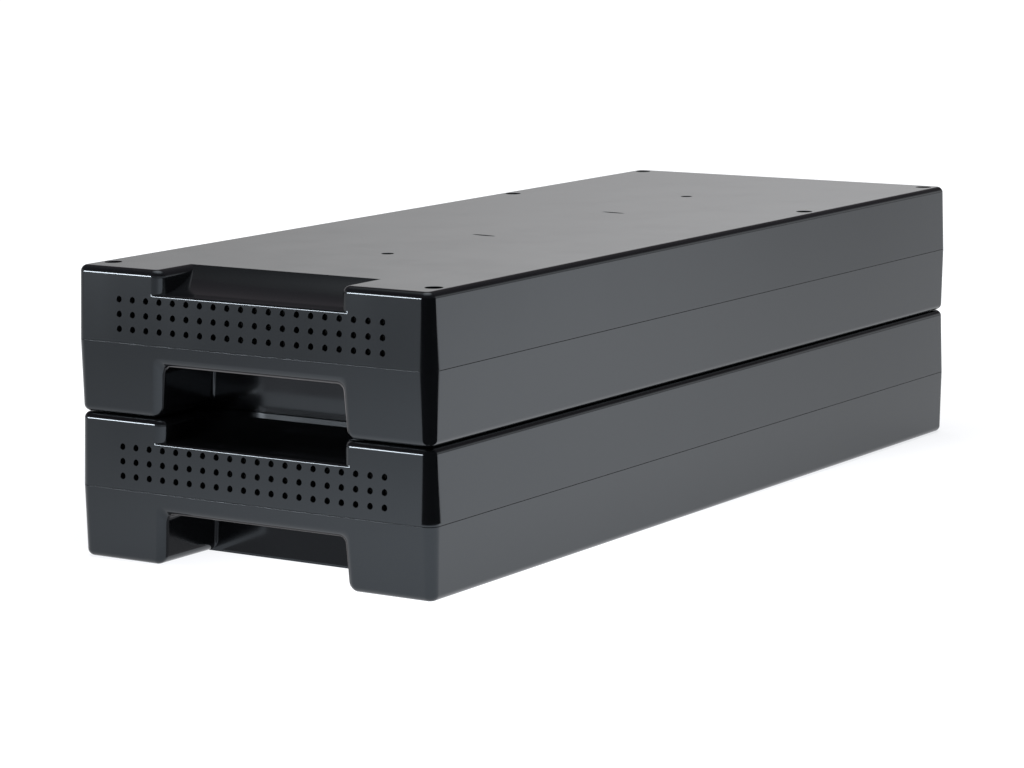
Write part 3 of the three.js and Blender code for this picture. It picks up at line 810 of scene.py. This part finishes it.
CORNER_CARD_DISTANCE = 2 * CORNER_RADIUS  # from the corner's own centre of curvature
CORNER_CARD_AZIMUTHS = range(-20, 126, 12)
WORLD_COLOUR = (1.0, 0.88, 0.96, 1)
WORLD_STRENGTH = 0.1

# Soft changes of brightness: a direction, where along it the change starts and ends in metres,
# and the brightness there.
TO_FRONT_RIGHT = (0.874, -0.485, 0)
FLOOR_LEFT = (TO_FRONT_RIGHT, (-0.45, -0.02), (1.05, 0.78))
FLOOR_RIGHT = (TO_FRONT_RIGHT, (-0.05, 0.28), (0.0, 0.55))
FLOOR_AHEAD = ((0.544, 0.839, 0), (-1.2, -0.2), (0.45, 1.0))
HORIZON_ACROSS = ((0.84, 0.545, 0), (-2.2, 1.8), (0.46, 0.74))
HORIZON_LOW = ((0, 0, 1), (1.2, HORIZON_PEAK), (0.75, 1.25))
HORIZON_HIGH = ((0, 0, 1), (HORIZON_PEAK, HORIZON_TOP), (1.0, 0.25))
CEILING_FADE = ((0.2, 1.5), (2.2, 0.15))  # outwards from above the middle


def emission(name, colour, strength=1.0):
    material = bpy.data.materials.new(name)
    material.use_nodes = True
    nodes, links = material.node_tree.nodes, material.node_tree.links
    nodes.clear()
    light = nodes.new("ShaderNodeEmission")
    light.inputs["Color"].default_value = (*colour, 1)
    light.inputs["Strength"].default_value = strength
    output = nodes.new("ShaderNodeOutputMaterial")
    links.new(light.outputs["Emission"], output.inputs["Surface"])
    return material


def vector_node(tree, operation, value, other=None):
    node = tree.nodes.new("ShaderNodeVectorMath")
    node.operation = operation
    if other is not None:
        node.inputs[1].default_value = other
    tree.links.new(value, node.inputs[0])
    return node


def math_node(tree, operation, first, second):
    node = tree.nodes.new("ShaderNodeMath")
    node.operation = operation
    tree.links.new(first, node.inputs[0])
    tree.links.new(second, node.inputs[1])
    return node.outputs["Value"]


def glow(tree, place, direction, reach, brightness):
    """Brightness that changes softly along a direction."""
    along = vector_node(tree, "DOT_PRODUCT", place, direction).outputs["Value"]
    return map_range(tree, along, reach, brightness, "SMOOTHSTEP")


def studio_floor():
    """Pale floor that glows: most to the right, less to the left, least to the front left."""
    bm = bmesh.new()
    bm.faces.new([bm.verts.new(point) for point in circle(STUDIO_REACH, 0, STUDIO_STEPS)])
    floor = to_object("studio_floor", bm)
    material, tree, shader, place = node_material("studio_floor")
    shader.inputs["Base Color"].default_value = (FLOOR_GREY, FLOOR_GREY, FLOOR_GREY, 1)
    shader.inputs["Roughness"].default_value = 0.9
    shader.inputs["Specular IOR Level"].default_value = 0.1
    shader.inputs["Emission Color"].default_value = FLOOR_GLOW_COLOUR
    left, right, ahead = (glow(tree, place, *c) for c in (FLOOR_LEFT, FLOOR_RIGHT, FLOOR_AHEAD))
    across = math_node(tree, "ADD", left, right)
    total = math_node(tree, "MULTIPLY", across, ahead)
    tree.links.new(total, shader.inputs["Emission Strength"])
    floor.data.materials.append(material)
    floor.location.z = -FLOOR_DROP


def horizon():
    """Wall all round, brightest a little above the floor and towards the back right."""
    bm = bmesh.new()
    foot, top = (circle(STUDIO_REACH, z, STUDIO_STEPS) for z in (0, HORIZON_TOP))
    add_strip(bm, list(zip(foot, top)), closed=True)
    wall = to_object("horizon", bm)
    material = emission("horizon", HORIZON_COLOUR)
    tree = material.node_tree
    place = tree.nodes.new("ShaderNodeTexCoord").outputs["Object"]
    changes = (HORIZON_ACROSS, HORIZON_LOW, HORIZON_HIGH)
    across, low_part, high_part = (glow(tree, place, *change) for change in changes)
    brightness = math_node(tree, "MULTIPLY", low_part, high_part)
    brightness = math_node(tree, "MULTIPLY", brightness, across)
    tree.links.new(brightness, tree.nodes["Emission"].inputs["Strength"])
    wall.data.materials.append(material)


def softbox(name, place, aim, size, radiance):
    light = bpy.data.lights.new(name, "AREA")
    light.shape = "RECTANGLE"
    light.size, light.size_y = size
    light.energy = math.pi * radiance * size[0] * size[1]
    lamp = mesh_object(name, light)
    lamp.location = place
    lamp.rotation_euler = (Vector(aim) - Vector(place)).to_track_quat("-Z", "Y").to_euler()
    lamp.visible_camera = False
    return lamp


def only_reflected(name, bm, colour, strength=1.0):
    """A glowing card that shows in reflections and nowhere else."""
    card = to_object(name, bm)
    card.data.materials.append(emission(name, colour, strength))
    card.visible_camera = False
    card.visible_diffuse = False
    card.visible_shadow = False
    return card


def ceiling():
    """What the top face mirrors from above: a soft glow that fades outwards."""
    bm = bmesh.new()
    rim = circle(CEILING_REACH, CEILING_HEIGHT, CEILING_STEPS)
    bm.faces.new([bm.verts.new(point) for point in rim])
    card = only_reflected("ceiling", bm, (1, 1, 1))
    tree = card.data.materials[0].node_tree
    place = tree.nodes.new("ShaderNodeTexCoord").outputs["Object"]
    level = vector_node(tree, "MULTIPLY", place, (1, 1, 0)).outputs["Vector"]
    reach = vector_node(tree, "LENGTH", level).outputs["Value"]
    fade = map_range(tree, reach, *CEILING_FADE, "SMOOTHSTEP")
    tree.links.new(fade, tree.nodes["Emission"].inputs["Strength"])


def corner_card():
    """Black card bent round the front right corner, which it darkens down to the lowest joint."""
    bm = bmesh.new()
    rows = []
    for azimuth in CORNER_CARD_AZIMUTHS:
        angle = math.radians(azimuth)
        x = HALF_WIDTH - CORNER_RADIUS + CORNER_CARD_DISTANCE * math.sin(angle)
        y = FRONT + CORNER_RADIUS - CORNER_CARD_DISTANCE * math.cos(angle)
        rows.append([(x, y, z) for z in (PARTING, 2 * HEIGHT)])
    add_strip(bm, rows)
    only_reflected("corner_card", bm, CARD_BLACK)


def mouth_card(prefix, strength, tray):
    """Grey card in the mouth of a pocket, for an even reflection on the pocket's rear wall.
    A tray of the same grey covers the floor behind it."""
    bm = bmesh.new()
    y = FRONT + POCKET_MOUTH_RADIUS
    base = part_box(f"{prefix}_bottom_shell")[0].z
    low, high = base + CARD_FOOT, base + POCKET["depth"] - CARD_CLEARANCE
    half = POCKET["far"] - CARD_CLEARANCE
    edges = [(y, high), (y, low)]
    if tray:
        edges.append((FRONT + POCKET_LENGTH - CARD_CLEARANCE, low))
    add_strip(bm, [[(x, *edge) for x in (-half, half)] for edge in edges])
    only_reflected(f"{prefix}_mouth_card", bm, CARD_GREY, strength)


studio_floor()
horizon()
overhead = softbox("overhead", **OVERHEAD)
overhead.visible_glossy = False
ceiling()
softbox("front_strip", **FRONT_STRIP)
corner_card()
mouth_card("upper", UPPER_CARD_GLOW, tray=False)
mouth_card("lower", LOWER_CARD_GLOW, tray=True)

world = bpy.data.worlds.new("studio")
bpy.context.scene.world = world
world.use_nodes = True
background = world.node_tree.nodes["Background"]
background.inputs["Color"].default_value = WORLD_COLOUR
background.inputs["Strength"].default_value = WORLD_STRENGTH
bpy.context.scene.view_settings.view_transform = "Standard"

# ---- Camera ----
CAMERA_AZIMUTH = math.radians(32.264)  # towards +X from the handle end
CAMERA_ELEVATION = math.radians(8.767)
CAMERA_DISTANCE = 1.9281  # from the middle of the stack
TURN = math.radians(32.921)  # its heading, to the left of +Y
TILT = math.radians(9.240)  # downwards
ROLL = math.radians(-0.384)
LENS = 121.1


def make_camera():
    low, high = (Vector(corner) for corner in cad_bounds)
    middle = (low + high) / 2
    data = bpy.data.cameras.new("camera")
    data.lens = LENS
    camera = mesh_object("camera", data)
    level = CAMERA_DISTANCE * math.cos(CAMERA_ELEVATION)
    camera.location = middle + Vector((
        level * math.sin(CAMERA_AZIMUTH),
        -level * math.cos(CAMERA_AZIMUTH),
        CAMERA_DISTANCE * math.sin(CAMERA_ELEVATION),
    ))
    aim = Matrix.Rotation(TURN, 4, "Z") @ Matrix.Rotation(math.pi / 2 - TILT, 4, "X")
    camera.rotation_euler = (aim @ Matrix.Rotation(ROLL, 4, "Z")).to_euler()
    bpy.context.scene.camera = camera


make_camera()
